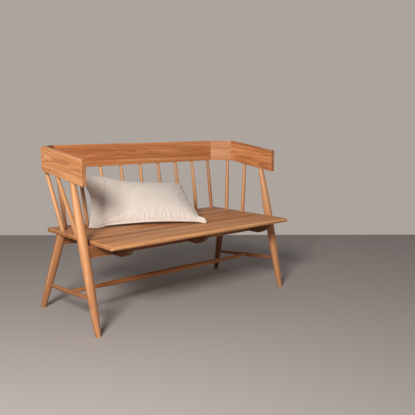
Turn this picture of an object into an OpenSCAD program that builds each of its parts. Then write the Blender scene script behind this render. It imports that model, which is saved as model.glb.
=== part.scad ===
// Spindle-back garden bench in solid teak, with a loose lumbar cushion.
// Millimetres. +X runs along the length, +Y to the back and +Z up. The origin
// is on the floor, in the middle of the space that the bench takes up.

/* [Seat] */
// Height of the top of the seat above the floor
seat_h = 440; // [410:5:470]
// Length of the seat planks
seat_l = 1210; // [1100:10:1500]
// Width of each of the three seat planks
plank_w = 215; // [206:1:224]
// Gap between two seat planks
plank_gap = 5.5; // [2:0.5:8]
// Thickness of the seat planks
plank_t = 22; // [20:1:26]
// Radius of the planks' eased long edges
plank_r = 4; // [1:0.5:6]
// Radius of the planks' rounded ends, seen from the side
plank_end_r = 8; // [2:0.5:9.5]
// Radius of the planks' corners, seen from above
plank_corner_r = 9; // [2:0.5:14]
// Radius of the eased edges of the back's boards
edge_r = 2; // [1:0.5:4]

/* [Back and arms] */
// Height of the top of the back above the seat
back_h = 443; // [400:1:500]
// Height of the boards of the back and arms
rail_h = 126; // [110:1:140]
// Thickness of the boards of the back and arms
rail_t = 26; // [24:1:32]
// Distance from the seat's rear edge forward to the back rail's inner face
rail_in = 18.6; // [10:0.1:25]
// Reach of a corner board's inner face along the length of the bench
corner_x = 88.6; // [70:0.1:110]
// Reach of a corner board's inner face from front to back
corner_y = 99.8; // [80:0.1:120]
// Distance from the seat's end out to the middle of the arm's front end
arm_out = 39; // [34:1:45]
// How much further out an arm's rear end is than its front end
arm_toe = 15; // [5:1:20]
// Distance from the seat's front edge back to the arm's front end
arm_in = 163.5; // [140:0.5:190]
// Drop of the arm from its rear end to its front end
arm_drop = 50; // [20:1:60]

/* [Spindles] */
// Distance from the seat's rear edge forward to the back spindles
spindle_in = 61.3; // [58:0.1:70]
// Distance from the seat's end to the outermost back spindle, on the seat
spindle_end = 78.6; // [70:0.1:90]
// Distance from the back rail's inner corner to the outermost back spindle
spindle_top_end = 18; // [14:1:30]
// Diameter of the back spindles where they stand on the seat
spindle_base_d = 19; // [17:0.5:21]
// Diameter of the back spindles under the rail
spindle_top_d = 17; // [15:0.5:19]
// Belly of the spindles over the straight taper
spindle_swell = 4; // [1:0.5:6]
// How much thicker the corner and side spindles are
side_extra = 1.5; // [0:0.5:2]
// Distance from the seat's end to the feet of the corner and side spindles
side_foot_in = 20; // [18:1:30]
// Distance from the seat's rear edge to the corner spindle's foot
corner_foot_y = 145; // [140:1:160]
// Distance from the seat's rear edge to the side spindle's foot
side_foot_y = 293.6; // [270:0.1:310]
// Distance of the corner spindle's top from the mitre of arm and corner board
corner_top = 22; // [18:1:40]
// Distance of the side spindle's top from that mitre
side_top = 121.9; // [100:0.1:140]

/* [Legs] */
// Diameter of the legs at the seat, their thickest place
leg_d = 48; // [44:1:52]
// Diameter of the legs at the floor
leg_foot_d = 28; // [26:1:34]
// Diameter of the front legs under the arm
leg_top_d = 28; // [24:1:32]
// Distance from the seat's end out to a front foot
front_foot_out = 35; // [33:1:45]
// Distance from the seat's front edge back to a front foot
front_foot_in = 84; // [70:1:100]
// Distance from the arm's front end back to the leg
leg_top_in = 104; // [90:1:120]
// Distance from the seat's end in to a rear leg's top
rear_top_end = 26.2; // [26:0.1:40]
// Distance from the seat's rear edge in to a rear leg's top
rear_top_in = 112.9; // [110:0.1:118]
// Distance from the seat's end out to a rear foot
rear_foot_out = 32.7; // [20:0.1:45]
// Distance from the seat's rear edge out to a rear foot
rear_foot_back = 17.9; // [10:0.1:30]

/* [Underframe] */
// Thickness of the two long rails under the seat
beam_t = 28; // [26:1:30]
// Height of the two long rails under the seat
beam_h = 58; // [50:1:62]
// Width of the three bearers
bearer_w = 32; // [28:1:36]
// Height of the three bearers
bearer_h = 61; // [55:1:64]
// Distance from the seat's end in to the middle of an outer bearer
bearer_in = 130; // [110:1:160]
// Distance from the seat's edges in to the bearers' noses
bearer_end = 28; // [20:1:34]
// Height of the side stretchers on the front legs
stretcher_front_z = 173; // [150:1:200]
// Height of the side stretchers on the rear legs
stretcher_rear_z = 131; // [110:1:160]
// Diameter of the side stretchers at their ends
stretcher_end_d = 16; // [14:0.5:18]
// Diameter of the side stretchers in the middle
stretcher_mid_d = 25; // [23:0.5:28]
// Place of the cross stretcher along the side stretchers, from the front
cross_at = 0.48; // [0.4:0.01:0.6]
// Diameter of the cross stretcher at its ends
cross_end_d = 18; // [16:0.5:20]
// Diameter of the cross stretcher in the middle
cross_mid_d = 31; // [24:0.5:34]

/* [Joinery] */
// Clearance round a tenon or dowel in its hole
fit = 0.15; // [0.1:0.05:0.25]
// Free depth past the end of a tenon or dowel
slack = 1; // [0.5:0.5:2]
// Clearance beside a halving joint
halving_fit = 0.2; // [0.1:0.05:0.3]
// Diameter of the dowels in the mitres
dowel_d = 8; // [6:1:10]
// Length of the dowels in the mitres
dowel_l = 30; // [24:1:34]

/* [Cushion] */
// Greatest thickness of the cushion
cushion_t = 117; // [90:1:130]
// Thickness of the cushion's sewn edge
cushion_edge = 6; // [4:1:10]
// Air between the cushion and the wood
cushion_gap = 0.4; // [0.3:0.1:2]

/* [Hidden] */
$fn = 64;

teak = "#c98d5c";
teak_light = "#d9a273";
teak_dark = "#a8703f";
steel = "#b9b9b6";
linen = "#decfc2";

// Number of back spindles, numbered from the left
spindle_n = 9;
// Number of straight steps along a turned profile
turned_steps = 18;
// Length that a cutting shape runs past the wood
over = 10;

// Tenons: diameter and length
foot_tenon_d = 14;
foot_tenon_l = 15;
top_tenon_d = 11;
top_tenon_l = 20;
arm_tenon_d = 16;
arm_tenon_l = 40;
rear_tenon_d = 22;
rear_tenon_l = 12;
beam_tenon_d = 22;
cross_tenon_d = 14;
// A beam's tenon ends this far past the leg's axis
beam_tenon_past = 8;
// A stretcher ends this far short of the axis of the piece it enters
stretcher_short = 4;
// Straight length at the end of a side stretcher, measured from the leg's axis
stretcher_straight = 27;
// Clearance at the shoulders of the cross stretcher and of the long rails
shoulder_gap = 0.4;

// Screws
screw_d = 5;
screw_head_d = 9;
screw_head_h = 3;
screw_bite = 14;
// Wood left over a screw's head, in the bearer
screw_wood = 22;
counterbore_d = 10;
// Places of the two screws across a plank, as a share of its width
screw_at = [0.29, 0.64];

// Main lines of the seat. Y runs from the seat's front edge to a rear foot.
seat_d = 3 * plank_w + 2 * plank_gap;
seat_under = seat_h - plank_t;
seat_end = seat_l / 2;
rear_run = [rear_top_end + rear_foot_out, rear_top_in + rear_foot_back, -seat_under];
foot_reach = leg_foot_d / 2 * sqrt(1 - (rear_run.x / norm(rear_run)) ^ 2) / abs(rear_run.z / norm(rear_run));
front_y = -(seat_d + rear_foot_back + foot_reach) / 2;
rear_y = front_y + seat_d;
middle_y = (front_y + rear_y) / 2;

// Plan of the boards: inner corners from the arm's front end round to the back
rail_top = seat_h + back_h;
rail_under = rail_top - rail_h;
arm_front = [seat_end + arm_out - rail_t / 2, front_y + arm_in];
arm_rear = [arm_front.x + arm_toe, rear_y - rail_in - corner_y];
back_corner = [arm_rear.x - corner_x, rear_y - rail_in];
arm_run = norm(arm_rear - arm_front);
arm_slope = atan(arm_drop / arm_run);

// Outward normal of the board that runs from p to q, with the bench on its left
function outward(p, q) = let (d = (q - p) / norm(q - p)) [-d.y, d.x];
arm_normal = outward(arm_rear, arm_front);
corner_normal = outward(back_corner, arm_rear);
back_normal = [0, 1];
// Step from an inner mitre corner to the outer one, between two normals
function mitre(n, m) = rail_t * (n + m) / (1 + n * m);
arm_mitre = mitre(arm_normal, corner_normal);
back_mitre = mitre(corner_normal, back_normal);

// Point s millimetres from a on the way to b
function toward(a, b, s) = a + s * (b - a) / norm(b - a);
// Height of the arm's underside at the distance s in front of its rear end
function arm_under(s) = rail_under - s * tan(arm_slope);
// Point on the arm's underside, on its middle line, s in front of the rear end
function under_arm(s) =
    let (p = toward(arm_rear, arm_front, s) + arm_normal * rail_t / 2) [p.x, p.y, arm_under(s)];

// Axes of the turned pieces on the right-hand side
front_foot = [seat_end + front_foot_out, front_y + front_foot_in, 0];
front_top = under_arm(arm_run - leg_top_in);
rear_top = [seat_end - rear_top_end, rear_y - rear_top_in, seat_under];
rear_foot = rear_top + rear_run;
side_foot = [seat_end - side_foot_in, rear_y - side_foot_y, seat_h];
side_head = under_arm(side_top);
corner_foot = [seat_end - side_foot_in, rear_y - corner_foot_y, seat_h];
corner_mid = toward(arm_rear, back_corner, corner_top) + corner_normal * rail_t / 2;
corner_head = [corner_mid.x, corner_mid.y, rail_under];

// Foot and head of back spindle i, from 1 at the left
function spindle_step(i) = (2 * i - spindle_n - 1) / (spindle_n - 1);
function back_foot(i) = [spindle_step(i) * (seat_end - spindle_end), rear_y - spindle_in, seat_h];
function back_head(i) =
    [spindle_step(i) * (back_corner.x - spindle_top_end), back_corner.y + rail_t / 2, rail_under];

// Point at the height z on the line through a and b
function at_height(a, b, z) = a + (z - a.z) / (b.z - a.z) * (b - a);
// The bearers and the long rails halve into each other at this height
beam_z = seat_under - beam_h / 2;
front_beam = at_height(front_foot, front_top, beam_z);
rear_beam = at_height(rear_foot, rear_top, beam_z);
stretcher_front = at_height(front_foot, front_top, stretcher_front_z);
stretcher_rear = at_height(rear_foot, rear_top, stretcher_rear_z);
cross_end = stretcher_front + cross_at * (stretcher_rear - stretcher_front);
bearer_x = [-seat_end + bearer_in, 0, seat_end - bearer_in];
screw_seat = seat_under - screw_wood;

// Diameters of the turned pieces at the share t of their length
function leg_below(t) = leg_foot_d + (leg_d - leg_foot_d) * (1 - (1 - t) ^ 2.2);
function leg_above(t) = leg_top_d + (leg_d - leg_top_d) * (1 - t ^ 1.6);
function spindle_d(t, extra) =
    spindle_base_d + extra + t * (spindle_top_d - spindle_base_d) + spindle_swell * sin(180 * t ^ 0.58);
function stretcher_d(t, end_d, mid_d) = end_d + (mid_d - end_d) * sin(180 * t);

steps = [for (k = [0 : turned_steps]) k / turned_steps];
// Closes a list of [radius, height] points on the axis
function closed(points) =
    concat([[0, points[0].y]], points, [[0, points[len(points) - 1].y]]);

// Turns its children's Z axis from a towards b. The eighth of a turn about that
// axis keeps the seam of a round surface off the tip of a slanted cut.
module along(a, b) {
    d = b - a;
    translate(a) rotate([0, acos(d.z / norm(d)), atan2(d.y, d.x)]) rotate([0, 0, 45]) children();
}

// Solid of revolution about the line from a to b
module turned(a, b, points) {
    along(a, b) rotate_extrude() polygon(closed(points));
}

// Round rod from a to b
module rod(a, b, d) {
    along(a, b) cylinder(h = norm(b - a), d = d);
}

// Rectangle with corners of the radius r, its lower left corner at the origin
module eased(w, h, r) {
    translate([r, 0]) square([w - 2 * r, h]);
    translate([0, r]) square([w, h - 2 * r]);
    for (x = [r, w - r], y = [r, h - r]) {
        translate([x, y]) circle(r);
    }
}

// Board of the back or arms, cut to the plan. Its inner face runs from p to q,
// and it falls by the slope on the way.
module board(p, q, slope, plan, top) {
    d = q - p;
    intersection() {
        translate([0, 0, rail_under - 2 * arm_drop])
            linear_extrude(height = top - rail_under + 2 * arm_drop) polygon(plan);
        translate([p.x, p.y, rail_under])
            rotate([slope, 0, atan2(d.x, -d.y)])
            translate([0, 4 * rail_t, 0])
            rotate([90, 0, 0])
            linear_extrude(height = norm(d) + 8 * rail_t) eased(rail_t, rail_h * cos(slope), edge_r);
    }
}

// Centre of the dowels of a mitre in plan, and the direction that they run in
function mitre_mid(corner, step) = corner + step / 2;
function mitre_across(step) = [step.y, -step.x] / norm(step);
dowel_z = [rail_under + 0.34 * rail_h, rail_under + 0.72 * rail_h];

// The two dowels of one mitre, or their holes
module dowel_pair(corner, step, d, l) {
    m = mitre_mid(corner, step);
    w = mitre_across(step) * l / 2;
    for (z = dowel_z) rod([m.x - w.x, m.y - w.y, z], [m.x + w.x, m.y + w.y, z], d);
}

// Holes for the dowels of the right-hand mitres
module dowel_holes() {
    dowel_pair(arm_rear, arm_mitre, dowel_d + 2 * fit, dowel_l + slack);
    dowel_pair(back_corner, back_mitre, dowel_d + 2 * fit, dowel_l + slack);
}

// Hole for a tenon on the axis from its shoulder to the point inside the piece
module socket(shoulder, inside, d, l) {
    rod(toward(shoulder, inside, l + slack), toward(shoulder, inside, -over), d + 2 * fit);
}

// Space between the seat and the boards, with the top that the arm's slope
// gives it in front of the right-hand mitre
module under_boards() {
    d = arm_front - arm_rear;
    reach = 2 * arm_run;
    translate([arm_rear.x, arm_rear.y, 0])
        rotate([0, 0, atan2(d.x, -d.y)])
        rotate([90, 0, 90])
        translate([0, 0, -4 * rail_t])
        linear_extrude(height = 8 * rail_t)
        polygon([[0, 0], [0, rail_under], [-reach, arm_under(reach)], [-reach, 0]]);
}

// Level slab between two heights, wide enough for the whole bench
module slab(low, high) {
    translate([-seat_l, -seat_l, low]) cube([2 * seat_l, 2 * seat_l, high - low]);
}

// Body of a spindle with its two tenons. Its children are the space that its
// shoulders are cut to.
module spindle(foot, head, extra) {
    span = norm(head - foot);
    body = [for (t = steps) [spindle_d(t, extra) / 2, t * span]];
    ends = concat([[body[0].x, -over]], body, [[body[turned_steps].x, span + over]]);
    intersection() {
        turned(foot, head, ends);
        children();
    }
    rod(toward(foot, head, -foot_tenon_l), toward(foot, head, over), foot_tenon_d);
    rod(toward(head, foot, -top_tenon_l), toward(head, foot, over), top_tenon_d);
}

module foot_socket(foot, head) {
    socket(foot, 2 * foot - head, foot_tenon_d, foot_tenon_l);
}

module top_socket(foot, head) {
    socket(head, 2 * head - foot, top_tenon_d, top_tenon_l);
}

module rail_back() {
    inner = [[-back_corner.x, back_corner.y], back_corner];
    far = back_corner + back_mitre * 1.5;
    near = back_corner - back_mitre * 0.5;
    plan = [[-near.x, near.y], near, far, [-far.x, far.y]];
    color(teak) difference() {
        board(inner[0], inner[1], 0, plan, rail_top + over);
        for (i = [1 : spindle_n]) top_socket(back_foot(i), back_head(i));
        dowel_holes();
        mirror([1, 0, 0]) dowel_holes();
    }
}

module rail_corner_right() {
    plan = [
        arm_rear - arm_mitre * 0.5, arm_rear + arm_mitre * 1.5,
        back_corner + back_mitre * 1.5, back_corner - back_mitre * 0.5
    ];
    color(teak_light) difference() {
        board(back_corner, arm_rear, 0, plan, rail_top + over);
        top_socket(corner_foot, corner_head);
        dowel_holes();
    }
}

module rail_corner_left() {
    mirror([1, 0, 0]) rail_corner_right();
}

module arm_right() {
    back = (arm_rear - arm_front) / arm_run;
    outer = arm_front + arm_normal * rail_t;
    plan = [
        arm_front + arm_normal * edge_r, outer - arm_normal * edge_r,
        outer + arm_normal * over + back * (over + edge_r),
        arm_rear + arm_mitre * 1.5, arm_rear - arm_mitre * 0.5,
        arm_front - arm_normal * over + back * (over + edge_r)
    ];
    color(teak) difference() {
        board(arm_rear, arm_front, arm_slope, plan, rail_top);
        top_socket(side_foot, side_head);
        socket(front_top, 2 * front_top - front_foot, arm_tenon_d, arm_tenon_l);
        dowel_holes();
    }
}

module arm_left() {
    mirror([1, 0, 0]) arm_right();
}

module mitre_dowels() {
    color(teak_light) for (side = [0, 1]) mirror([side, 0, 0]) {
        dowel_pair(arm_rear, arm_mitre, dowel_d, dowel_l);
        dowel_pair(back_corner, back_mitre, dowel_d, dowel_l);
    }
}

module back_spindle(i) {
    color(teak_light) spindle(back_foot(i), back_head(i), 0) slab(seat_h, rail_under);
}

module corner_spindle_right() {
    color(teak_light) spindle(corner_foot, corner_head, side_extra) slab(seat_h, rail_under);
}

module corner_spindle_left() {
    mirror([1, 0, 0]) corner_spindle_right();
}

module side_spindle_right() {
    color(teak_light) spindle(side_foot, side_head, side_extra) intersection() {
        slab(seat_h, rail_top);
        under_boards();
    }
}

module side_spindle_left() {
    mirror([1, 0, 0]) side_spindle_right();
}

module front_leg_right() {
    span = norm(front_top - front_foot);
    low = norm(at_height(front_foot, front_top, seat_h) - front_foot);
    below = [for (t = steps) [leg_below(t) / 2, t * low]];
    above = [for (t = steps) if (t > 0) [leg_above(t) / 2, low + t * (span - low)]];
    body = concat([[leg_foot_d / 2, -over]], below, above, [[leg_top_d / 2, span + over]]);
    color(teak) difference() {
        union() {
            intersection() {
                turned(front_foot, front_top, body);
                under_boards();
            }
            rod(toward(front_top, front_foot, -arm_tenon_l), toward(front_top, front_foot, over), arm_tenon_d);
        }
        beam_socket(front_beam);
        stretcher_socket(stretcher_front, stretcher_rear);
    }
}

module front_leg_left() {
    mirror([1, 0, 0]) front_leg_right();
}

module rear_leg_right() {
    span = norm(rear_top - rear_foot);
    below = [for (t = steps) [leg_below(t) / 2, t * span]];
    body = concat([[leg_foot_d / 2, -over]], below, [[leg_d / 2, span + over]]);
    color(teak) difference() {
        union() {
            intersection() {
                turned(rear_foot, rear_top, body);
                slab(0, seat_under);
            }
            rod(toward(rear_top, rear_foot, -rear_tenon_l), toward(rear_top, rear_foot, over), rear_tenon_d);
        }
        beam_socket(rear_beam);
        stretcher_socket(stretcher_rear, stretcher_front);
    }
}

module rear_leg_left() {
    mirror([1, 0, 0]) rear_leg_right();
}

// Hole in a leg for the tenon of a long rail that comes from the bench's middle
module beam_socket(p) {
    rod([p.x - leg_d, p.y, p.z], [p.x + beam_tenon_past + slack, p.y, p.z], beam_tenon_d + 2 * fit);
}

// Hole in a leg for the end of a side stretcher that comes from the other leg
module stretcher_socket(p, other) {
    rod(toward(p, other, stretcher_short - slack), toward(p, other, leg_d), stretcher_end_d + 2 * fit);
}

// Long rail under the seat, through the point p of the right-hand leg's axis.
// Its shoulders are hollowed to fit the two legs, which run from foot to top.
module beam(p, foot, top) {
    low = at_height(foot, top, seat_under - 2 * beam_h);
    high = at_height(foot, top, seat_h);
    difference() {
        union() {
            difference() {
                translate([-p.x, p.y - beam_t / 2, seat_under - beam_h]) cube([2 * p.x, beam_t, beam_h]);
                for (side = [0, 1]) mirror([side, 0, 0]) rod(low, high, leg_d + 2 * shoulder_gap);
            }
            rod([-p.x - beam_tenon_past, p.y, p.z], [p.x + beam_tenon_past, p.y, p.z], beam_tenon_d);
        }
        for (x = bearer_x) {
            translate([x - bearer_w / 2 - halving_fit, p.y - beam_t, seat_under - beam_h - over])
                cube([bearer_w + 2 * halving_fit, 2 * beam_t, beam_h / 2 + over]);
        }
    }
}

module front_rail() {
    color(teak_dark) beam(front_beam, front_foot, front_top);
}

module rear_rail() {
    color(teak_dark) beam(rear_beam, rear_foot, rear_top);
}

// Side view of half a bearer's nose, as [distance from the end, height below the
// seat] points
nose = [[0, 0], [15, 25], [38, 46], [78, bearer_h]];

module bearer(x) {
    front = front_y + bearer_end;
    rear = rear_y - bearer_end;
    outline = concat(
        [for (p = nose) [front + p.x, seat_under - p.y]],
        [for (k = [len(nose) - 1 : -1 : 0]) [rear - nose[k].x, seat_under - nose[k].y]]
    );
    color(teak_dark) difference() {
        translate([x - bearer_w / 2, 0, 0])
            rotate([90, 0, 90]) linear_extrude(height = bearer_w) polygon(outline);
        for (p = [front_beam, rear_beam]) {
            translate([x - bearer_w, p.y - beam_t / 2 - halving_fit, beam_z])
                cube([2 * bearer_w, beam_t + 2 * halving_fit, plank_t + beam_h]);
        }
        for (y = screw_rows) {
            translate([x, y, seat_under - bearer_h - over])
                cylinder(h = screw_seat - seat_under + bearer_h + over, d = counterbore_d);
            translate([x, y, screw_seat - over]) cylinder(h = screw_wood + 2 * over, d = screw_d + 2 * fit);
        }
    }
}

module bearer_left() {
    bearer(bearer_x[0]);
}

module bearer_middle() {
    bearer(bearer_x[1]);
}

module bearer_right() {
    bearer(bearer_x[2]);
}

// Front edge of plank k, and the two rows of screws in each plank
function plank_front(k) = front_y + k * (plank_w + plank_gap);
screw_rows = [for (k = [0 : 2], s = screw_at) plank_front(k) + s * plank_w];

module bearer_screws() {
    color(steel) for (x = bearer_x, y = screw_rows) {
        translate([x, y, screw_seat - screw_head_h]) cylinder(h = screw_head_h, d = screw_head_d);
        translate([x, y, screw_seat - screw_head_h / 2])
            cylinder(h = screw_head_h / 2 + screw_wood + screw_bite, d = screw_d);
    }
}

// Plank k with its rounded ends and its screw holes. Its children are its
// section, from its front edge backwards.
module plank(k) {
    difference() {
        intersection() {
            translate([-seat_l, plank_front(k), seat_under])
                rotate([90, 0, 90]) linear_extrude(height = 2 * seat_l) children();
            translate([-seat_end, plank_front(k) + plank_w + over, seat_under])
                rotate([90, 0, 0])
                linear_extrude(height = plank_w + 2 * over) eased(seat_l, plank_t, plank_end_r);
            translate([-seat_end, plank_front(k), seat_under - over])
                linear_extrude(height = plank_t + 2 * over) eased(seat_l, plank_w, plank_corner_r);
        }
        for (x = bearer_x, s = screw_at) {
            translate([x, plank_front(k) + s * plank_w, seat_under - over])
                cylinder(h = over + screw_bite + slack, d = screw_d + fit);
        }
    }
}

module seat_plank_front() {
    r = plank_t / 2;
    color(teak) plank(0) {
        translate([r, 0]) eased(plank_w - r, plank_t, plank_r);
        translate([r, 0]) square([plank_w / 2, plank_t]);
        translate([r, r]) circle(r);
    }
}

module seat_plank_middle() {
    color(teak) difference() {
        plank(1) eased(plank_w, plank_t, plank_r);
        foot_socket(side_foot, side_head);
        mirror([1, 0, 0]) foot_socket(side_foot, side_head);
    }
}

module seat_plank_rear() {
    color(teak) difference() {
        plank(2) eased(plank_w, plank_t, plank_r);
        for (i = [1 : spindle_n]) foot_socket(back_foot(i), back_head(i));
        for (side = [0, 1]) mirror([side, 0, 0]) {
            foot_socket(corner_foot, corner_head);
            socket(rear_top, 2 * rear_top - rear_foot, rear_tenon_d, rear_tenon_l);
        }
    }
}

module side_stretcher_right() {
    span = norm(stretcher_rear - stretcher_front);
    swell = span - 2 * stretcher_straight;
    body = [for (t = steps)
        [stretcher_d(t, stretcher_end_d, stretcher_mid_d) / 2, stretcher_straight + t * swell]];
    ends = concat(
        [[stretcher_end_d / 2, stretcher_short]], body, [[stretcher_end_d / 2, span - stretcher_short]]
    );
    color(teak) difference() {
        turned(stretcher_front, stretcher_rear, ends);
        rod(cross_end - [leg_d, 0, 0], cross_end - [stretcher_short - slack, 0, 0], cross_tenon_d + 2 * fit);
    }
}

module side_stretcher_left() {
    mirror([1, 0, 0]) side_stretcher_right();
}

module cross_stretcher() {
    tenon = cross_end.x - stretcher_short;
    shoulder = cross_end.x - stretcher_mid_d / 2 - shoulder_gap;
    body = [for (t = steps)
        [stretcher_d(t, cross_end_d, cross_mid_d) / 2, (2 * t - 1) * shoulder]];
    color(teak) {
        turned([0, cross_end.y, cross_end.z], cross_end, body);
        rod([-tenon, cross_end.y, cross_end.z], [tenon, cross_end.y, cross_end.z], cross_tenon_d);
    }
}

// Corners of the cushion's seam, measured from the middle of the seat's top
cushion_bottom_left = [-445, 156, 7];
cushion_bottom_right = [121, -128, 6];
cushion_top_left = [-388, 277, 271];
cushion_top_right = [247, 222, 193];
// How far each edge bends from the straight line, in its middle
cushion_bottom_bow = [25, 15, 0];
cushion_top_bow = [0, -3, -25];
cushion_left_bow = [21, 0, 0];
cushion_right_bow = [-18, 0, 0];
// Steps of the cushion's faces along its length and its height
cushion_u = 20;
cushion_v = 14;

// Middle surface, with u from -1 at the left to 1 and v from -1 at the bottom to 1
function cushion_middle(u, v) =
    let (a = (1 + u) / 2, b = (1 + v) / 2)
    (1 - a) * ((1 - b) * cushion_bottom_left + b * cushion_top_left)
    + a * ((1 - b) * cushion_bottom_right + b * cushion_top_right)
    + (1 - u ^ 2) * ((1 - b) * cushion_bottom_bow + b * cushion_top_bow)
    + (1 - v ^ 2) * ((1 - a) * cushion_left_bow + a * cushion_right_bow);
// Direction of the crown, which is the front face's normal
function cushion_normal(u, v) =
    let (
        h = 0.01,
        along_u = cushion_middle(u + h, v) - cushion_middle(u - h, v),
        along_v = cushion_middle(u, v + h) - cushion_middle(u, v - h),
        n = cross(along_u, along_v)
    )
    n / norm(n);
// Half of the thickness: full in the middle, a thin seam all round
function cushion_half(u, v) =
    cushion_edge / 2
    + (cushion_t - cushion_edge) / 2 * sqrt((1 - abs(u) ^ 2.6) * (1 - abs(v) ^ 2.6)) * (1 - 0.1 * v);
// Front face of the back spindles at a height above the seat
spindle_lean = (back_head(1).y - back_foot(1).y) / (rail_under - seat_h);
spindle_face_y = back_foot(1).y - middle_y - (spindle_base_d / 2 + spindle_swell / 2) / cos(atan(spindle_lean));
function kept(p) =
    let (z = max(p.z, cushion_gap))
    [p.x, min(p.y, spindle_face_y + spindle_lean * z - cushion_gap), z];
function cushion_point(u, v, side) =
    kept(cushion_middle(u, v) + side * cushion_half(u, v) * cushion_normal(u, v)) + [0, middle_y, seat_h];

module cushion() {
    us = [for (i = [0 : cushion_u]) sin(90 * (2 * i / cushion_u - 1))];
    vs = [for (j = [0 : cushion_v]) sin(90 * (2 * j / cushion_v - 1))];
    ring = 2 * (cushion_v + 1);
    points = [for (u = us) each concat(
        [for (j = [0 : cushion_v]) cushion_point(u, vs[j], 1)],
        [for (j = [cushion_v : -1 : 0]) cushion_point(u, vs[j], -1)]
    )];
    sides = [for (i = [0 : cushion_u - 1], j = [0 : ring - 1])
        let (a = i * ring + j, b = i * ring + (j + 1) % ring)
        each [[a, b, b + ring], [a, b + ring, a + ring]]];
    last = cushion_u * ring;
    caps = [for (j = [0 : cushion_v - 1]) each [
        [j, ring - 1 - j, ring - 2 - j], [j, ring - 2 - j, j + 1],
        [last + j, last + ring - 2 - j, last + ring - 1 - j], [last + j, last + j + 1, last + ring - 2 - j]
    ]];
    color(linen) polyhedron(points, concat(sides, caps), convexity = 6);
}

rail_back();
rail_corner_left();
rail_corner_right();
arm_left();
arm_right();
mitre_dowels();
for (i = [1 : spindle_n]) {
    back_spindle(i);
}
corner_spindle_left();
corner_spindle_right();
side_spindle_left();
side_spindle_right();
front_leg_left();
front_leg_right();
rear_leg_left();
rear_leg_right();
front_rail();
rear_rail();
bearer_left();
bearer_middle();
bearer_right();
side_stretcher_left();
side_stretcher_right();
cross_stretcher();
seat_plank_front();
seat_plank_middle();
seat_plank_rear();
bearer_screws();
cushion();
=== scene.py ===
import math
import random

import bpy
import numpy as np
from mathutils import Matrix, Vector


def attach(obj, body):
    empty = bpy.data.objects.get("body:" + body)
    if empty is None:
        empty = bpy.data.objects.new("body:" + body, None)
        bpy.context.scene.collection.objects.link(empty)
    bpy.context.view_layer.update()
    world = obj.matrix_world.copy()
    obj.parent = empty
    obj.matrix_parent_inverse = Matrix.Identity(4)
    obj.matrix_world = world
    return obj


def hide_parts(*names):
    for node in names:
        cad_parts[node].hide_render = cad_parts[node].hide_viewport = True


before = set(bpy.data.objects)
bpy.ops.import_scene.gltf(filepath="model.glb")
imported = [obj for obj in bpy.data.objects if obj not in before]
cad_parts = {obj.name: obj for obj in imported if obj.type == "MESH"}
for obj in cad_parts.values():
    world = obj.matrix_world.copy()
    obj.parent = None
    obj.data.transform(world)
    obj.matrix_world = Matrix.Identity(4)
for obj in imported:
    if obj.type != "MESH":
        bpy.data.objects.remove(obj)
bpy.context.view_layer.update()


# Seat planks
# Three planks of solid teak run the length of the bench, with a rounded front
# edge, eased arrises and a bare, matt surface. Screws hold them from below.

def srgb(red, green, blue):
    """A colour given from 0 to 255 as it is seen, in the linear values that a material takes."""
    shares = [c / 255 for c in (red, green, blue)]
    return (*[s / 12.92 if s <= 0.04045 else ((s + 0.055) / 1.055) ** 2.4 for s in shares], 1.0)


def add(tree, kind, *values, **settings):
    """Adds a node to a tree. Its inputs are filled in order with numbers, colours or
    the outputs of other nodes, and None leaves an input as it is."""
    node = tree.nodes.new(kind)
    for name, value in settings.items():
        setattr(node, name, value)
    for socket, value in zip(node.inputs, values):
        if isinstance(value, bpy.types.NodeSocket):
            tree.links.new(value, socket)
        elif value is not None:
            socket.default_value = value
    return node


def calc(tree, operation, *values):
    """The result of a sum on numbers."""
    return add(tree, "ShaderNodeMath", *values, operation=operation).outputs[0]


def vector_calc(tree, operation, *values):
    """The result of a sum on vectors. Length and dot product give a number."""
    node = add(tree, "ShaderNodeVectorMath", *values, operation=operation)
    return node.outputs["Value" if operation in ("LENGTH", "DOT_PRODUCT") else "Vector"]


def smooth_step(tree, value, low, high, start=0.0, end=1.0):
    """Goes smoothly from start to end while the value goes from low to high."""
    node = add(tree, "ShaderNodeMapRange", value, low, high, start, end, interpolation_type="SMOOTHSTEP")
    return node.outputs[0]


def cloudy(tree, vector, stretch, detail=2.0, roughness=0.5):
    """Noise from 0 to 1, with the vector scaled by stretch in clouds per metre."""
    scaled = vector_calc(tree, "MULTIPLY", vector, stretch)
    return add(tree, "ShaderNodeTexNoise", scaled, None, 1.0, detail, roughness).outputs[0]


def blend_colour(tree, share, first, second, mode="MIX"):
    """The first colour turning into the second, or worked on by it, as share goes from 0 to 1."""
    node = tree.nodes.new("ShaderNodeMix")
    node.data_type, node.blend_type = "RGBA", mode
    for socket, value in zip((node.inputs[0], node.inputs[6], node.inputs[7]), (share, first, second)):
        if isinstance(value, bpy.types.NodeSocket):
            tree.links.new(value, socket)
        else:
            socket.default_value = value
    return node.outputs[2]


def start_group(name, inputs, outputs):
    """A shader node group with the named sockets, and its input and output nodes."""
    group = bpy.data.node_groups.new(name, "ShaderNodeTree")
    for label, kind, default in inputs:
        socket = group.interface.new_socket(name=label, in_out="INPUT", socket_type="NodeSocket" + kind)
        socket.default_value = default
    for label, kind in outputs:
        group.interface.new_socket(name=label, in_out="OUTPUT", socket_type="NodeSocket" + kind)
    return group, group.nodes.new("NodeGroupInput"), group.nodes.new("NodeGroupOutput")


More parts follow.
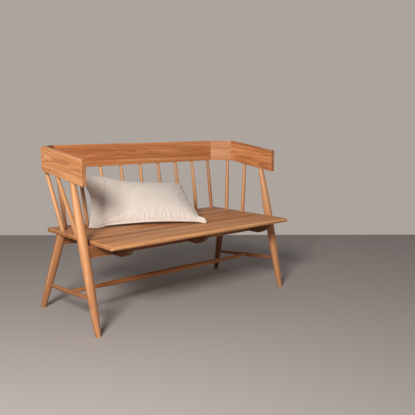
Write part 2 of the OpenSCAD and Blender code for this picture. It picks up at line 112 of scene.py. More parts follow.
# The grain is a block of wood with its growth rings round the pith, cut to the
# piece: X runs along the grain, and the faces and ends show the same rings.
grain, given, made = start_group(
    "teak grain",
    [
        ("Vector", "Vector", (0, 0, 0)), ("Normal", "Vector", (0, 0, 1)),
        ("Grain Axis", "Vector", (1, 0, 0)), ("Half Size", "Vector", (1, 1, 1)),
        ("Pith", "Vector", (0, 0, 0)), ("Drift", "Vector", (0, 0, 0)),
        ("Light", "Color", srgb(216, 160, 110)), ("Dark", "Color", srgb(160, 100, 58)),
        ("Ring Width", "Float", 0.006), ("Figure", "Float", 0.01), ("Rings", "Float", 0.6),
        ("Streaks", "Float", 0.5), ("Wear", "Float", 0.3),
    ],
    [("Color", "Color"), ("Roughness", "Float"), ("Height", "Float")],
)
at = given.outputs["Vector"]
along_grain = add(grain, "ShaderNodeSeparateXYZ", at).outputs[0]
lean = vector_calc(grain, "SCALE", given.outputs["Drift"])
grain.links.new(along_grain, lean.node.inputs["Scale"])
block = vector_calc(grain, "SUBTRACT", vector_calc(grain, "ADD", at, lean), given.outputs["Pith"])
radius = vector_calc(grain, "LENGTH", vector_calc(grain, "MULTIPLY", block, (0, 1, 1)))
wave = calc(grain, "SUBTRACT", cloudy(grain, block, (2.2, 9, 9)), 0.5)
ripple = calc(grain, "SUBTRACT", cloudy(grain, block, (9, 60, 60)), 0.5)
radius = calc(grain, "MULTIPLY_ADD", wave, given.outputs["Figure"], radius)
ripple_size = calc(grain, "MULTIPLY", given.outputs["Ring Width"], 0.35)
radius = calc(grain, "MULTIPLY_ADD", ripple, ripple_size, radius)
years = calc(grain, "DIVIDE", radius, given.outputs["Ring Width"])
slow_years = calc(grain, "MULTIPLY", years, 0.37)
seasons = add(grain, "ShaderNodeTexNoise", None, slow_years, 1.0, 1.0, noise_dimensions="1D")
years = calc(grain, "MULTIPLY_ADD", seasons.outputs[0], 2.2, years)
season = calc(grain, "FRACT", years)
ring = calc(
    grain, "MULTIPLY",
    smooth_step(grain, season, 0.25, 0.9), smooth_step(grain, season, 0.9, 1.0, 1.0, 0.0),
)
year = add(grain, "ShaderNodeTexWhiteNoise", None, calc(grain, "FLOOR", years), noise_dimensions="1D")
ring = calc(grain, "MULTIPLY", ring, smooth_step(grain, year.outputs[0], 0.0, 1.0, 0.25, 1.0))
ring = calc(grain, "MULTIPLY", ring, given.outputs["Rings"])
fibre = cloudy(grain, block, (7, 420, 420), 3.0, 0.6)
streak = smooth_step(grain, cloudy(grain, block, (1.3, 52, 52), 3.0, 0.6), 0.47, 0.72)
streak = calc(grain, "MULTIPLY", streak, given.outputs["Streaks"])
pale = smooth_step(grain, cloudy(grain, block, (1.3, 30, 30), 2.0), 0.5, 0.75)
band = cloudy(grain, block, (0.9, 15, 15), 2.0)
pores = smooth_step(grain, cloudy(grain, block, (60, 1500, 1500), 1.0), 0.62, 0.72)
pores = calc(grain, "MULTIPLY", pores, calc(grain, "SUBTRACT", 1.0, ring))
colour = blend_colour(grain, ring, given.outputs["Light"], given.outputs["Dark"])
colour = blend_colour(grain, streak, colour, given.outputs["Dark"])
colour = blend_colour(grain, calc(grain, "MULTIPLY", pale, 0.4), colour, srgb(238, 188, 136))
band = smooth_step(grain, band, 0.32, 0.66)
tint = blend_colour(grain, band, (0.84, 0.77, 0.70, 1), (1.08, 1.08, 1.08, 1))
colour = blend_colour(grain, 1.0, colour, tint, "MULTIPLY")
shade = smooth_step(grain, fibre, 0.25, 0.75, 0.86, 1.1)
colour = vector_calc(grain, "SCALE", colour)
grain.links.new(shade, colour.node.inputs["Scale"])
colour = blend_colour(grain, calc(grain, "MULTIPLY", pores, 0.45), colour, srgb(110, 66, 38))
# End grain is darker, and worn arrises are a little paler.
end = vector_calc(grain, "DOT_PRODUCT", given.outputs["Normal"], given.outputs["Grain Axis"])
end = smooth_step(grain, calc(grain, "ABSOLUTE", end), 0.6, 0.95)
colour = blend_colour(grain, calc(grain, "MULTIPLY", end, 0.35), colour, srgb(128, 78, 44))
inside = vector_calc(grain, "SUBTRACT", given.outputs["Half Size"], vector_calc(grain, "ABSOLUTE", at))
inside = add(grain, "ShaderNodeSeparateXYZ", inside).outputs
nearest = calc(grain, "MINIMUM", inside[1], inside[2])
farther = calc(grain, "MAXIMUM", inside[1], inside[2])
arris = calc(grain, "MAXIMUM", nearest, calc(grain, "MINIMUM", farther, inside[0]))
scuff = calc(grain, "MULTIPLY_ADD", cloudy(grain, at, (25, 90, 90), 3.0), 0.008, 0.0005)
arris = smooth_step(grain, calc(grain, "DIVIDE", arris, scuff), 0.3, 1.0, 1.0, 0.0)
arris = calc(grain, "MULTIPLY", arris, given.outputs["Wear"])
colour = blend_colour(grain, arris, colour, srgb(240, 196, 150))
roughness = calc(grain, "MULTIPLY_ADD", fibre, 0.16, 0.42)
roughness = calc(grain, "MULTIPLY_ADD", end, 0.15, roughness)
height = calc(grain, "MULTIPLY_ADD", ring, 0.3, calc(grain, "MULTIPLY", fibre, 0.5))
height = calc(grain, "SUBTRACT", height, calc(grain, "MULTIPLY", pores, 0.6))
grain.links.new(colour, made.inputs["Color"])
grain.links.new(roughness, made.inputs["Roughness"])
grain.links.new(height, made.inputs["Height"])


def grain_axes(node):
    """The middle of a piece, half its size, and its axes: along the grain, level
    across it, and upwards. The grain follows the piece's length."""
    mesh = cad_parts[node].data
    mesh.calc_loop_triangles()
    points = np.array([v.co for v in mesh.vertices])
    a, b, c = np.array([points[list(t.vertices)] for t in mesh.loop_triangles]).transpose(1, 0, 2)
    area = np.linalg.norm(np.cross(b - a, c - a), axis=1)
    middle = (a + b + c) / 3
    spread = np.zeros((3, 3))
    centre = area @ middle / area.sum()
    for corner, share in ((a, 1), (b, 1), (c, 1), (middle, 9)):
        away = corner - centre
        spread += share * (away * area[:, None]).T @ away
    length = np.linalg.eigh(spread)[1][:, 2]
    length *= np.sign(length[np.argmax(np.abs(length))])
    across = np.cross((0, 0, 1), length)
    across /= np.linalg.norm(across)
    axes = np.array([length, across, np.cross(length, across)])
    along = points @ axes.T
    low, high = along.min(0), along.max(0)
    return (low + high) / 2 @ axes, (high - low) / 2, axes


grain_relief, grain_depth = 0.35, 0.0006
# How far in from a joint edge the painted shade of the gap reaches, and its colour.
joint_shade_reach, joint_shade_colour = 0.0045, srgb(70, 36, 18)


def teak(
    node, pith, light, dark, ring_width=0.006, figure=0.01, rings=0.6, streaks=0.5, wear=0.3,
    drift=(0, 0), joints=(),
):
    """Gives a piece its own cut of teak. pith is where the middle of the tree lies
    from the piece's middle, level across and upwards, in metres. joints are the
    long edges, -1 or 1 across, darkened with painted shade where the gaps between planks lie."""
    centre, half, axes = grain_axes(node)
    material = bpy.data.materials.new("teak_" + node)
    material.use_nodes = True
    tree = material.node_tree
    shader = tree.nodes["Principled BSDF"]
    place = add(tree, "ShaderNodeTexCoord")
    turn = Matrix(axes.T.tolist()).to_euler()
    local = add(
        tree, "ShaderNodeMapping", place.outputs["Object"], tuple(centre), tuple(turn), vector_type="TEXTURE"
    )
    wood = tree.nodes.new("ShaderNodeGroup")
    wood.node_tree = grain
    tree.links.new(local.outputs[0], wood.inputs["Vector"])
    tree.links.new(place.outputs["Normal"], wood.inputs["Normal"])
    for name, value in {
        "Grain Axis": tuple(axes[0]), "Half Size": tuple(half), "Pith": (0, *pith), "Drift": (0, *drift),
        "Light": light, "Dark": dark, "Ring Width": ring_width, "Figure": figure, "Rings": rings,
        "Streaks": streaks, "Wear": wear,
    }.items():
        wood.inputs[name].default_value = value
    relief = add(tree, "ShaderNodeBump", grain_relief, grain_depth)
    tree.links.new(wood.outputs["Height"], relief.inputs["Height"])
    colour = wood.outputs["Color"]
    # Painted shade darkens the long edges where one plank meets the next.
    for side in joints:
        across = add(tree, "ShaderNodeSeparateXYZ", local.outputs[0]).outputs[1]
        across = calc(tree, "MULTIPLY", across, side)
        gap_shade = smooth_step(tree, across, half[1] - joint_shade_reach, half[1] - joint_shade_reach / 3)
        colour = blend_colour(tree, calc(tree, "MULTIPLY", gap_shade, 0.85), colour, joint_shade_colour)
    tree.links.new(colour, shader.inputs["Base Color"])
    tree.links.new(wood.outputs["Roughness"], shader.inputs["Roughness"])
    tree.links.new(relief.outputs[0], shader.inputs["Normal"])
    shader.inputs["Specular IOR Level"].default_value = 0.4
    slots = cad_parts[node].data.materials
    for i in range(len(slots)):
        slots[i] = material
    if not len(slots):
        slots.append(material)


for node, pith, light, ring_width, figure, drift, joints in (
    ("seat_plank_front", (0.21, -0.06), srgb(220, 156, 102), 0.007, 0.016, (0.01, 0.004), (1,)),
    ("seat_plank_middle", (-0.17, -0.07), srgb(210, 144, 90), 0.0065, 0.014, (0.012, 0), (-1, 1)),
    ("seat_plank_rear", (0.06, -0.08), srgb(208, 146, 96), 0.0075, 0.02, (0.008, 0.01), (-1,)),
):
    teak(node, pith, light, srgb(134, 74, 36), ring_width, figure, 0.75, 0.75, 0.3, drift, joints)


# Rails and bearers under the seat
# Two long teak rails are tenoned into the legs, and three bearers with shaped
# noses are halved over them. Their colour is darkened with painted shade from the seat above, the bearers
# most.

# These colours hold painted shade: the wood under the seat is made darker than the wood above it.
shaded_rail_light, shaded_bearer_light, shaded_under_dark = srgb(150, 98, 60), srgb(122, 76, 46), srgb(92, 52, 26)
for node, pith, light in (
    ("front_rail", (0.05, -0.03), shaded_rail_light), ("rear_rail", (-0.06, 0.05), shaded_rail_light),
    ("bearer_left", (0.05, 0.04), shaded_bearer_light), ("bearer_middle", (-0.06, 0.03), shaded_bearer_light),
    ("bearer_right", (0.07, -0.03), shaded_bearer_light),
):
    teak(node, pith, light, shaded_under_dark, 0.006, 0.012, 0.7, 0.5, 0.2, (0.01, 0.006))


# Screws
# Eighteen stainless steel screws stand in counterbores under the bearers and
# hold the planks. Their steel is dull and slightly mottled.

steel = bpy.data.materials.new("stainless_screws")
steel.use_nodes = True
tree, shader = steel.node_tree, steel.node_tree.nodes["Principled BSDF"]
place = add(tree, "ShaderNodeTexCoord").outputs["Object"]
mottle = cloudy(tree, place, (900, 900, 900), 3.0)
colour = blend_colour(tree, mottle, srgb(150, 150, 146), srgb(206, 205, 198))
tree.links.new(colour, shader.inputs["Base Color"])
tree.links.new(smooth_step(tree, mottle, 0.3, 0.7, 0.28, 0.45), shader.inputs["Roughness"])
shader.inputs["Metallic"].default_value = 1.0
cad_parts["bearer_screws"].data.materials[0] = steel


# Legs
# Four turned teak legs, thickest at the seat and each of its own tone; the rear
# right one is darkened further with painted shade from the seat above. The front
# pair runs on past the seat's ends and is tenoned into the arms, the rear pair
# into the rear plank.

for node, pith, light in (
    ("front_leg_left", (0.06, 0.03), srgb(214, 154, 106)),
    ("front_leg_right", (0.06, -0.02), srgb(210, 150, 102)),
    ("rear_leg_left", (-0.05, 0.04), srgb(184, 128, 86)),
    # The rear right leg's dark colour is painted shade.
    ("rear_leg_right", (-0.05, -0.02), srgb(134, 84, 48)),
):
    teak(node, pith, light, srgb(140, 84, 46), 0.007, 0.02, 0.55, 0.5, 0, (0.02, 0.01))


# Stretchers
# A turned stretcher joins the two legs at each end of the bench, and a cross
# stretcher joins these two. All three swell in the middle.

for node, pith, light in (
    ("side_stretcher_left", (0.03, 0.03), srgb(178, 118, 76)),
    # The right side stretcher's darker colour is painted shade.
    ("side_stretcher_right", (-0.03, 0.04), srgb(156, 100, 60)),
    ("cross_stretcher", (0.05, -0.02), srgb(184, 120, 70)),
):
    teak(node, pith, light, srgb(130, 76, 40), 0.006, 0.016, 0.6, 0.5, 0, (0.015, 0.01))


# Spindles
# Nine turned spindles stand between the rear plank and the back, one under each
# corner board and one under each arm, all with tenons at both ends.

spindles = random.Random(11)
for node in sorted(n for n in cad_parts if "spindle" in n):
    pith = (spindles.uniform(0.02, 0.06), spindles.uniform(-0.05, 0.05))
    tone = spindles.uniform(-8, 8)
    light, dark = srgb(208 + tone, 152 + tone, 104 + tone), srgb(158 + tone, 98 + tone, 58 + tone)
    teak(node, pith, light, dark, 0.006, 0.012, 0.6, 0.45, 0, (0.02, 0.01))


# Boards of the back and arms
# Five teak boards on edge run round the back, mitred at four corners with two
# teak dowels hidden in each mitre. Their edges are eased.

board_light, board_dark = srgb(206, 134, 82), srgb(134, 70, 34)
teak("rail_back", (0.055, 0.015), srgb(214, 140, 88), board_dark, 0.0075, 0.03, 0.5, 0.4, 0.35, (0.0, 0.012))
teak("rail_corner_left", (0.05, 0.05), board_light, board_dark, 0.007, 0.02, 0.5, 0.4, 0.35)
teak("rail_corner_right", (0.09, -0.05), srgb(208, 144, 94), board_dark, 0.007, 0.02, 0.45, 0.45, 0.35)
teak("arm_left", (0.08, 0.02), srgb(222, 157, 105), board_dark, 0.007, 0.02, 0.55, 0.5, 0.35, (0.03, 0.02))
teak("arm_right", (-0.08, -0.03), srgb(216, 144, 90), board_dark, 0.007, 0.02, 0.6, 0.5, 0.35, (0.03, 0.02))
teak("mitre_dowels", (0.02, 0.02), srgb(206, 149, 102), srgb(154, 94, 54))


# Cushion
# A lumbar cushion in a plain woven linen cover with a narrow stitched border.
# It is soft filled, leans on the spindles and lies loose on the seat.

seat_middle = np.array((0, -0.016285, 0.440))  # at the seat's top, where the cushion is measured from
cushion_corner = np.array([  # bottom and top corners of the seam, at the left and at the right
    [(-0.451, 0.156, 0.007), (-0.388, 0.277, 0.271)],
    [(0.121, -0.128, 0.006), (0.247, 0.222, 0.193)],
])
# How far the four sides are bowed, and where the cover is drawn from its plain form
bow_bottom, bow_top = np.array((0.025, -0.002, 0.009)), np.array((0.0, -0.003, -0.025))
bow_left, bow_right = np.array((0.026, 0.0, 0.0)), np.array((-0.018, 0.0, 0.0))
pulls = np.array([  # u and v of a place, how far round it, and where it is drawn to, in metres
    (-0.74, 1.00, 0.24, 0.50, 0.000, 0.000, 0.013),  # the top left is full
    (-1.00, 0.70, 0.20, 0.40, -0.034, -0.020, 0.000),  # the left end is turned forward
    (-0.87, -1.00, 0.11, 0.40, 0.000, -0.012, -0.007),  # the bottom left hangs down to the seat
    (0.05, -1.00, 0.72, 0.25, 0.000, 0.000, 0.006),  # the bottom seam lifts in the middle
    (1.00, -0.72, 0.10, 0.10, -0.010, 0.000, 0.000),  # the ear at the bottom right has a neck
    (1.00, -0.93, 0.10, 0.15, 0.009, -0.030, -0.007),
    (1.00, -1.00, 0.04, 0.07, -0.014, 0.004, 0.001),
    (1.00, 1.00, 0.08, 0.15, -0.010, 0.000, -0.007),  # the top right corner is rounded
])
crown, border_thickness = 0.101, 0.004
across_cells, up_cells, border_cells = 198, 102, 3
cover_half = np.array((0.315, 0.165))  # half the cover's width and height, laid flat
spindle_face, spindle_lean = 0.2550, 0.1757  # the front of the back spindles at the seat, and its lean
air = 0.0006  # left between the cover and the wood
seam_roundness = 0.0014
settle_steps, largest_move = 20, 0.014
cloth_growth = -0.006  # a negative shrinkage


def cover_middle(u, v):
    """The surface midway between the two faces. u runs from -1 at the left to 1 at
    the right, and v from -1 at the bottom to 1 at the top."""
    a, b = (1 + u[..., None]) / 2, (1 + v[..., None]) / 2
    (low_left, high_left), (low_right, high_right) = cushion_corner
    flat = (1 - a) * ((1 - b) * low_left + b * high_left) + a * ((1 - b) * low_right + b * high_right)
    flat += (1 - u[..., None] ** 2) * ((1 - b) * bow_bottom + b * bow_top)
    flat += (1 - v[..., None] ** 2) * ((1 - a) * bow_left + a * bow_right)
    for u_place, v_place, u_reach, v_reach, *shift in pulls:
        near = np.exp(-((u - u_place) / u_reach) ** 2 - ((v - v_place) / v_reach) ** 2)
        flat += near[..., None] * np.array(shift)
    return flat


def cover_normal(u, v):
    """Unit vectors out of the front face."""
    step = 0.01
    along = cover_middle(u + step, v) - cover_middle(u - step, v)
    upwards = cover_middle(u, v + step) - cover_middle(u, v - step)
    n = np.cross(along, upwards)
    return n / np.linalg.norm(n, axis=-1, keepdims=True)


def spaced(cells):
    """Places from -1 to 1, closer together near the border."""
    even = np.linspace(-1, 1, cells + 1)
    return 0.55 * even + 0.45 * np.sin(np.pi / 2 * even)


def filling(u, v):
    """Half of the thickness: the stitched border is flat, the filling swells inside
    it, and the ear at the bottom right is plump."""
    inner_u = np.clip(np.abs(u) / -spaced(across_cells)[border_cells], 0, 1)
    inner_v = np.clip(np.abs(v) / -spaced(up_cells)[border_cells], 0, 1)
    swell = np.sqrt((1 - inner_u ** 3.2) * (1 - inner_v ** 4.5)) * (1 + 0.2 * v)
    ear = 0.014 * np.exp(-((u - 0.955) / 0.045) ** 2 - ((v + 0.90) / 0.10) ** 2)
    return border_thickness / 2 + (crown - border_thickness) / 2 * swell + ear


def gathers(u, v):
    """Soft folds that rise from the lower seam, fainter at the left."""
    x, y = u * cover_half[0], v * cover_half[1]
    rise = np.zeros_like(u)
    folds = np.random.default_rng(3)
    for place in np.linspace(-0.26, 0.27, 21):
        place += folds.uniform(-0.012, 0.012)
        width, reach = folds.uniform(0.0045, 0.0075), folds.uniform(0.025, 0.065)
        depth, slant = folds.uniform(0.0010, 0.0042), folds.uniform(-0.35, 0.35)
        if place < -0.06:
            depth, reach = depth * 0.45, reach * 0.6
        up = y + cover_half[1]
        rise += (
            depth * np.exp(-((x - place - slant * up) / width) ** 2)
            * np.exp(-(up / reach) ** 2) * np.minimum(up / 0.012, 1)
        )
    return rise


grid_u, grid_v = np.meshgrid(spaced(across_cells), spaced(up_cells), indexing="ij")
middle, outward, half = cover_middle(grid_u, grid_v), cover_normal(grid_u, grid_v), filling(grid_u, grid_v)
front = middle + outward * (half + gathers(grid_u, grid_v))[..., None]
back = middle - outward * half[..., None]

count = grid_u.size
numbers = np.arange(count).reshape(grid_u.shape)


def quads(ids):
    """Four-sided faces of a grid of vertex numbers."""
    return np.stack([ids[:-1, :-1], ids[1:, :-1], ids[1:, 1:], ids[:-1, 1:]], -1).reshape(-1, 4)


def ring(inset):
    """The vertex numbers round the front face, this many cells in from its edge."""
    ids = numbers[inset:numbers.shape[0] - inset, inset:numbers.shape[1] - inset]
    return np.concatenate([ids[:-1, 0], ids[-1, :-1], ids[:0:-1, -1], ids[0, :0:-1]])


# Between the two faces, the seam's edge is rounded by one row of vertices.
rim, next_in = ring(0), ring(1)
flat_front, flat_back = front.reshape(-1, 3), back.reshape(-1, 3)
seam = (flat_front[rim] + flat_back[rim]) / 2
inward = seam.mean(0) - seam
inward /= np.linalg.norm(inward, axis=1, keepdims=True)
seam -= inward * seam_roundness
last = 2 * count + np.arange(len(rim))
upper = np.stack([rim, np.roll(rim, -1), np.roll(last, -1), last], -1)[:, ::-1]
lower = np.stack([last, np.roll(last, -1), np.roll(rim, -1) + count, rim + count], -1)[:, ::-1]
faces = np.concatenate([quads(numbers), quads(numbers)[:, ::-1] + count, upper, lower])
points = np.concatenate([flat_front, flat_back, seam])


def kept_clear(points):
    """Points held just above the seat and just in front of the spindles."""
    points = points.copy()
    points[:, 2] = np.maximum(points[:, 2], air)
    points[:, 1] = np.minimum(points[:, 1], spindle_face + spindle_lean * points[:, 2] - air)
    return points


mesh = bpy.data.meshes.new("cushion_cover")
mesh.from_pydata((kept_clear(points) + seat_middle).tolist(), [], faces.tolist())
cloth_map = mesh.uv_layers.new(name="cloth")
flat = np.stack([grid_u, grid_v], -1).reshape(-1, 2) * cover_half
flat = np.concatenate([flat, flat, flat[rim]])
corner_of = np.empty(len(mesh.loops), int)
mesh.loops.foreach_get("vertex_index", corner_of)
cloth_map.data.foreach_set("uv", flat[corner_of].ravel())
mesh.polygons.foreach_set("use_smooth", [True] * len(mesh.polygons))
cushion = bpy.data.objects.new("cushion_cover", mesh)
bpy.context.scene.collection.objects.link(cushion)


def filled(piece, held):
    """Lets the cover settle under the pressure of its filling. The cloth is cut a
    little larger than the form, so that it puckers along the held seam."""
    held_group = piece.vertex_groups.new(name="held")
    held_group.add([int(i) for i in held], 1.0, "REPLACE")
    cloth = piece.modifiers.new("cloth", "CLOTH")
    cloth.settings.quality = 7
    cloth.settings.mass = 0.2
    cloth.settings.tension_stiffness = cloth.settings.compression_stiffness = 20
    cloth.settings.shear_stiffness = 6
    cloth.settings.bending_stiffness = 0.6
    cloth.settings.shrink_min = cloth_growth
    cloth.settings.use_pressure = True
    cloth.settings.uniform_pressure_force = 4
    cloth.settings.vertex_group_mass = "held"
    cloth.settings.effector_weights.gravity = 0
    cloth.point_cache.frame_start, cloth.point_cache.frame_end = 1, settle_steps
    for step in range(1, settle_steps + 1):
        bpy.context.scene.frame_set(step)
    settled = piece.evaluated_get(bpy.context.evaluated_depsgraph_get()).to_mesh()
    start, end = np.empty(len(settled.vertices) * 3), np.empty(len(settled.vertices) * 3)
    piece.data.vertices.foreach_get("co", start)
    settled.vertices.foreach_get("co", end)
    move = (end - start).reshape(-1, 3)
    length = np.linalg.norm(move, axis=1, keepdims=True) + 1e-9
    move *= largest_move * np.tanh(length / largest_move) / length
    piece.modifiers.remove(cloth)
    piece.vertex_groups.remove(held_group)
    bpy.context.scene.frame_set(1)
    points = kept_clear(start.reshape(-1, 3) + move - seat_middle) + seat_middle
    piece.data.vertices.foreach_set("co", points.ravel())
    piece.data.update()


border = np.concatenate([ring(i) for i in range(border_cells + 1)])
filled(cushion, np.concatenate([border, border + count, last]))

# Plain weave: warp and weft go over and under each other, with slubs in both.
weave, given, made = start_group(
    "plain weave",
    [
        ("Vector", "Vector", (0, 0, 0)), ("Yarn", "Float", 0.0011), ("Light", "Color", srgb(240, 230, 221)),
        ("Dark", "Color", srgb(208, 194, 183)), ("Slubs", "Float", 0.4),
    ],
    [("Color", "Color"), ("Height", "Float")],
)
cloth_at = given.outputs["Vector"]
turns = vector_calc(weave, "SCALE", cloth_at)
weave.links.new(calc(weave, "DIVIDE", math.pi, given.outputs["Yarn"]), turns.node.inputs["Scale"])
waves = vector_calc(weave, "SINE", turns)
warp, weft, _ = add(weave, "ShaderNodeSeparateXYZ", waves).outputs
over = smooth_step(weave, calc(weave, "MULTIPLY", warp, weft), -0.1, 0.1)
yarns = add(weave, "ShaderNodeMix", over)
weave.links.new(calc(weave, "ABSOLUTE", warp), yarns.inputs[2])
weave.links.new(calc(weave, "ABSOLUTE", weft), yarns.inputs[3])
slub_along = cloudy(weave, cloth_at, (14, 620, 1), 2.0)
slub_up = cloudy(weave, cloth_at, (620, 14, 1), 2.0)
slub = smooth_step(weave, calc(weave, "MAXIMUM", slub_along, slub_up), 0.42, 0.75)
tone = calc(weave, "MULTIPLY", yarns.outputs[0], 0.5)
tone = calc(weave, "MULTIPLY_ADD", slub, given.outputs["Slubs"], tone)
heather = smooth_step(weave, cloudy(weave, cloth_at, (60, 60, 1), 3.0), 0.3, 0.7, -0.05, 0.05)
tone = calc(weave, "ADD", tone, heather)
colour = blend_colour(weave, tone, given.outputs["Dark"], given.outputs["Light"])
weave.links.new(colour, made.inputs["Color"])
weave.links.new(calc(weave, "MULTIPLY_ADD", slub, 0.5, yarns.outputs[0]), made.inputs["Height"])

linen = bpy.data.materials.new("linen")
linen.use_nodes = True
tree, shader = linen.node_tree, linen.node_tree.nodes["Principled BSDF"]
laid = add(tree, "ShaderNodeUVMap", uv_map="cloth")
cloth = tree.nodes.new("ShaderNodeGroup")
cloth.node_tree = weave
tree.links.new(laid.outputs[0], cloth.inputs["Vector"])
relief = add(tree, "ShaderNodeBump", 0.5, 0.0004)
tree.links.new(cloth.outputs["Height"], relief.inputs["Height"])
tree.links.new(cloth.outputs["Color"], shader.inputs["Base Color"])
tree.links.new(relief.outputs[0], shader.inputs["Normal"])
shader.inputs["Roughness"].default_value = 0.88
shader.inputs["Specular IOR Level"].default_value = 0.25
shader.inputs["Sheen Weight"].default_value = 0.2
mesh.materials.append(linen)
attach(cushion, "cushion")
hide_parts("cushion")


# Stitches of the cushion
# One row of running stitches in thicker linen thread, on both faces, where the
# narrow border meets the filled part.

stitch_pitch, stitch_length, thread_thickness = 0.0052, 0.0038, 0.0008


def stitch_tree():
    """Geometry Nodes that lay one stitch every pitch along each edge of a mesh line."""
    nodes = bpy.data.node_groups.new("running stitch", "GeometryNodeTree")
    nodes.interface.new_socket("Geometry", in_out="INPUT", socket_type="NodeSocketGeometry")
    for name, value in (("Pitch", stitch_pitch), ("Length", stitch_length), ("Thickness", thread_thickness)):
        nodes.interface.new_socket(name, in_out="INPUT", socket_type="NodeSocketFloat").default_value = value
    nodes.interface.new_socket("Seed", in_out="INPUT", socket_type="NodeSocketInt").default_value = 5
    nodes.interface.new_socket("Thread", in_out="INPUT", socket_type="NodeSocketMaterial")
    nodes.interface.new_socket("Geometry", in_out="OUTPUT", socket_type="NodeSocketGeometry")
    given, made = nodes.nodes.new("NodeGroupInput").outputs, nodes.nodes.new("NodeGroupOutput")
    join = nodes.links.new
    curve = nodes.nodes.new("GeometryNodeMeshToCurve")
    join(given["Geometry"], curve.inputs["Mesh"])
    spaced_out = nodes.nodes.new("GeometryNodeResampleCurve")
    spaced_out.mode = "LENGTH"
    join(curve.outputs[0], spaced_out.inputs["Curve"])
    join(given["Pitch"], spaced_out.inputs["Length"])
    bead = nodes.nodes.new("GeometryNodeMeshUVSphere")
    bead.inputs["Segments"].default_value, bead.inputs["Rings"].default_value = 6, 5
    bead.inputs["Radius"].default_value = 0.5
    along = nodes.nodes.new("FunctionNodeAlignRotationToVector")
    along.axis = "Z"
    join(nodes.nodes.new("GeometryNodeInputTangent").outputs[0], along.inputs["Vector"])
    chance = nodes.nodes.new("FunctionNodeRandomValue")
    chance.data_type = "FLOAT"
    lowest, highest = (chance.inputs[i] for i in (2, 3))
    lowest.default_value, highest.default_value = 0.85, 1.1
    join(given["Seed"], chance.inputs["Seed"])
    length = calc(nodes, "MULTIPLY", given["Length"], chance.outputs[1])
    size = nodes.nodes.new("ShaderNodeCombineXYZ")
    join(given["Thickness"], size.inputs["X"])
    join(given["Thickness"], size.inputs["Y"])
    join(length, size.inputs["Z"])
    laid = nodes.nodes.new("GeometryNodeInstanceOnPoints")
    join(spaced_out.outputs[0], laid.inputs["Points"])
    join(bead.outputs[0], laid.inputs["Instance"])
    join(along.outputs[0], laid.inputs["Rotation"])
    join(size.outputs[0], laid.inputs["Scale"])
    real = nodes.nodes.new("GeometryNodeRealizeInstances")
    join(laid.outputs[0], real.inputs[0])
    finish = nodes.nodes.new("GeometryNodeSetMaterial")
    join(real.outputs[0], finish.inputs["Geometry"])
    join(given["Thread"], finish.inputs["Material"])
    join(finish.outputs[0], made.inputs[0])
    return nodes


thread = bpy.data.materials.new("linen_thread")
thread.use_nodes = True
tree, shader = thread.node_tree, thread.node_tree.nodes["Principled BSDF"]
place = add(tree, "ShaderNodeTexCoord").outputs["Object"]
twist = smooth_step(tree, cloudy(tree, place, (900, 900, 900), 1.0), 0.3, 0.7)
colour = blend_colour(tree, twist, srgb(206, 190, 176), srgb(240, 230, 220))
tree.links.new(colour, shader.inputs["Base Color"])
shader.inputs["Roughness"].default_value = 0.8

settled = np.empty(len(mesh.vertices) * 3)
mesh.vertices.foreach_get("co", settled)
settled = settled.reshape(-1, 3)
row = ring(border_cells)
out = (settled[row] - settled[row + count]) / 2
out *= thread_thickness * 0.25 / np.linalg.norm(out, axis=1, keepdims=True)
line = np.concatenate([settled[row] + out, settled[row + count] - out])
steps = np.arange(len(row))
edges = np.stack([steps, np.roll(steps, -1)], -1)
line_mesh = bpy.data.meshes.new("stitch_line")
line_mesh.from_pydata(line.tolist(), np.concatenate([edges, edges + len(row)]).tolist(), [])
guide = bpy.data.objects.new("stitch_line", line_mesh)
bpy.context.scene.collection.objects.link(guide)
sewn = guide.modifiers.new("sewn", "NODES")
sewn.node_group = stitch_tree()
sockets = [item for item in sewn.node_group.interface.items_tree if item.in_out == "INPUT"]
identifiers = {item.name: item.identifier for item in sockets}
sewn[identifiers["Pitch"]] = stitch_pitch
sewn[identifiers["Length"]] = stitch_length
sewn[identifiers["Thickness"]] = thread_thickness
sewn[identifiers["Thread"]] = thread
whole = guide.evaluated_get(bpy.context.evaluated_depsgraph_get())
stitches = bpy.data.objects.new("cushion_stitches", bpy.data.meshes.new_from_object(whole))
bpy.data.objects.remove(guide)
bpy.context.scene.collection.objects.link(stitches)
stitches.data.polygons.foreach_set("use_smooth", [True] * len(stitches.data.polygons))
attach(stitches, "cushion")


# Studio
# A plain pale floor that ends in a level line, a soft lamp up on the left and
# weaker, even light from all round.

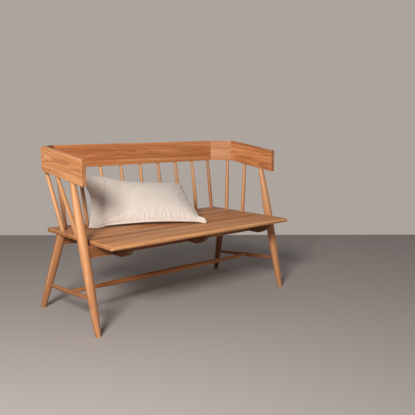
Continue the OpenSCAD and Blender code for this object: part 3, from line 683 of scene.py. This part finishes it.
yaw, pitch, roll = math.radians(41.12), math.radians(8.41), math.radians(-0.09)
camera_place = Vector((-1.9309, -2.5249, 0.9943))
view_ground = Vector((math.sin(yaw), math.cos(yaw), 0))
right_ground = Vector((math.cos(yaw), -math.sin(yaw), 0))
floor_far, floor_near, floor_side = 5.03, -6.0, 9.0
floor_mesh = bpy.data.meshes.new("floor")
start = Vector((camera_place.x, camera_place.y, 0))
floor_mesh.from_pydata(
    [start + view_ground * f + right_ground * r for f, r in (
        (floor_near, -floor_side), (floor_near, floor_side),
        (floor_far, floor_side), (floor_far, -floor_side),
    )], [], [(0, 1, 2, 3)],
)
floor = bpy.data.objects.new("floor", floor_mesh)
bpy.context.scene.collection.objects.link(floor)
plain = bpy.data.materials.new("pale_floor")
plain.use_nodes = True
plain.node_tree.nodes["Principled BSDF"].inputs["Base Color"].default_value = srgb(175, 167, 163)
plain.node_tree.nodes["Principled BSDF"].inputs["Roughness"].default_value = 0.9
floor_mesh.materials.append(plain)

world = bpy.data.worlds.new("studio")
bpy.context.scene.world = world
world.use_nodes = True
sky = world.node_tree
path = add(sky, "ShaderNodeLightPath").outputs
seen = calc(sky, "MAXIMUM", path["Is Glossy Ray"], path["Is Transmission Ray"])
seen = calc(sky, "MAXIMUM", path["Is Camera Ray"], seen)
fill_light, backdrop = (0.178, 0.170, 0.162, 1), srgb(173, 164, 158)
sky.links.new(blend_colour(sky, seen, fill_light, backdrop), sky.nodes["Background"].inputs["Color"])

lamp = bpy.data.lights.new("soft_key", "AREA")
lamp.shape, lamp.size, lamp.size_y, lamp.energy = "RECTANGLE", 1.0, 0.9, 175
lamp.color = (1.0, 0.98, 0.95)
key = bpy.data.objects.new("soft_key", lamp)
key.location = (-3.05, -2.25, 2.31)
key.rotation_euler = (Vector((0, 0, 0.5)) - key.location).to_track_quat("-Z", "Y").to_euler()
bpy.context.scene.collection.objects.link(key)


# Camera
# It stands in front of the bench's left end, a metre above the floor.

lens = bpy.data.cameras.new("camera")
lens.lens, lens.sensor_width = 49.09, 36.0
camera = bpy.data.objects.new("camera", lens)
camera.location = camera_place
turned = Matrix.Rotation(-yaw, 3, "Z") @ Matrix.Rotation(math.pi / 2 - pitch, 3, "X")
camera.rotation_euler = (turned @ Matrix.Rotation(roll, 3, "Z")).to_euler()
bpy.context.scene.collection.objects.link(camera)
bpy.context.scene.camera = camera
bpy.context.scene.view_settings.view_transform = "Standard"
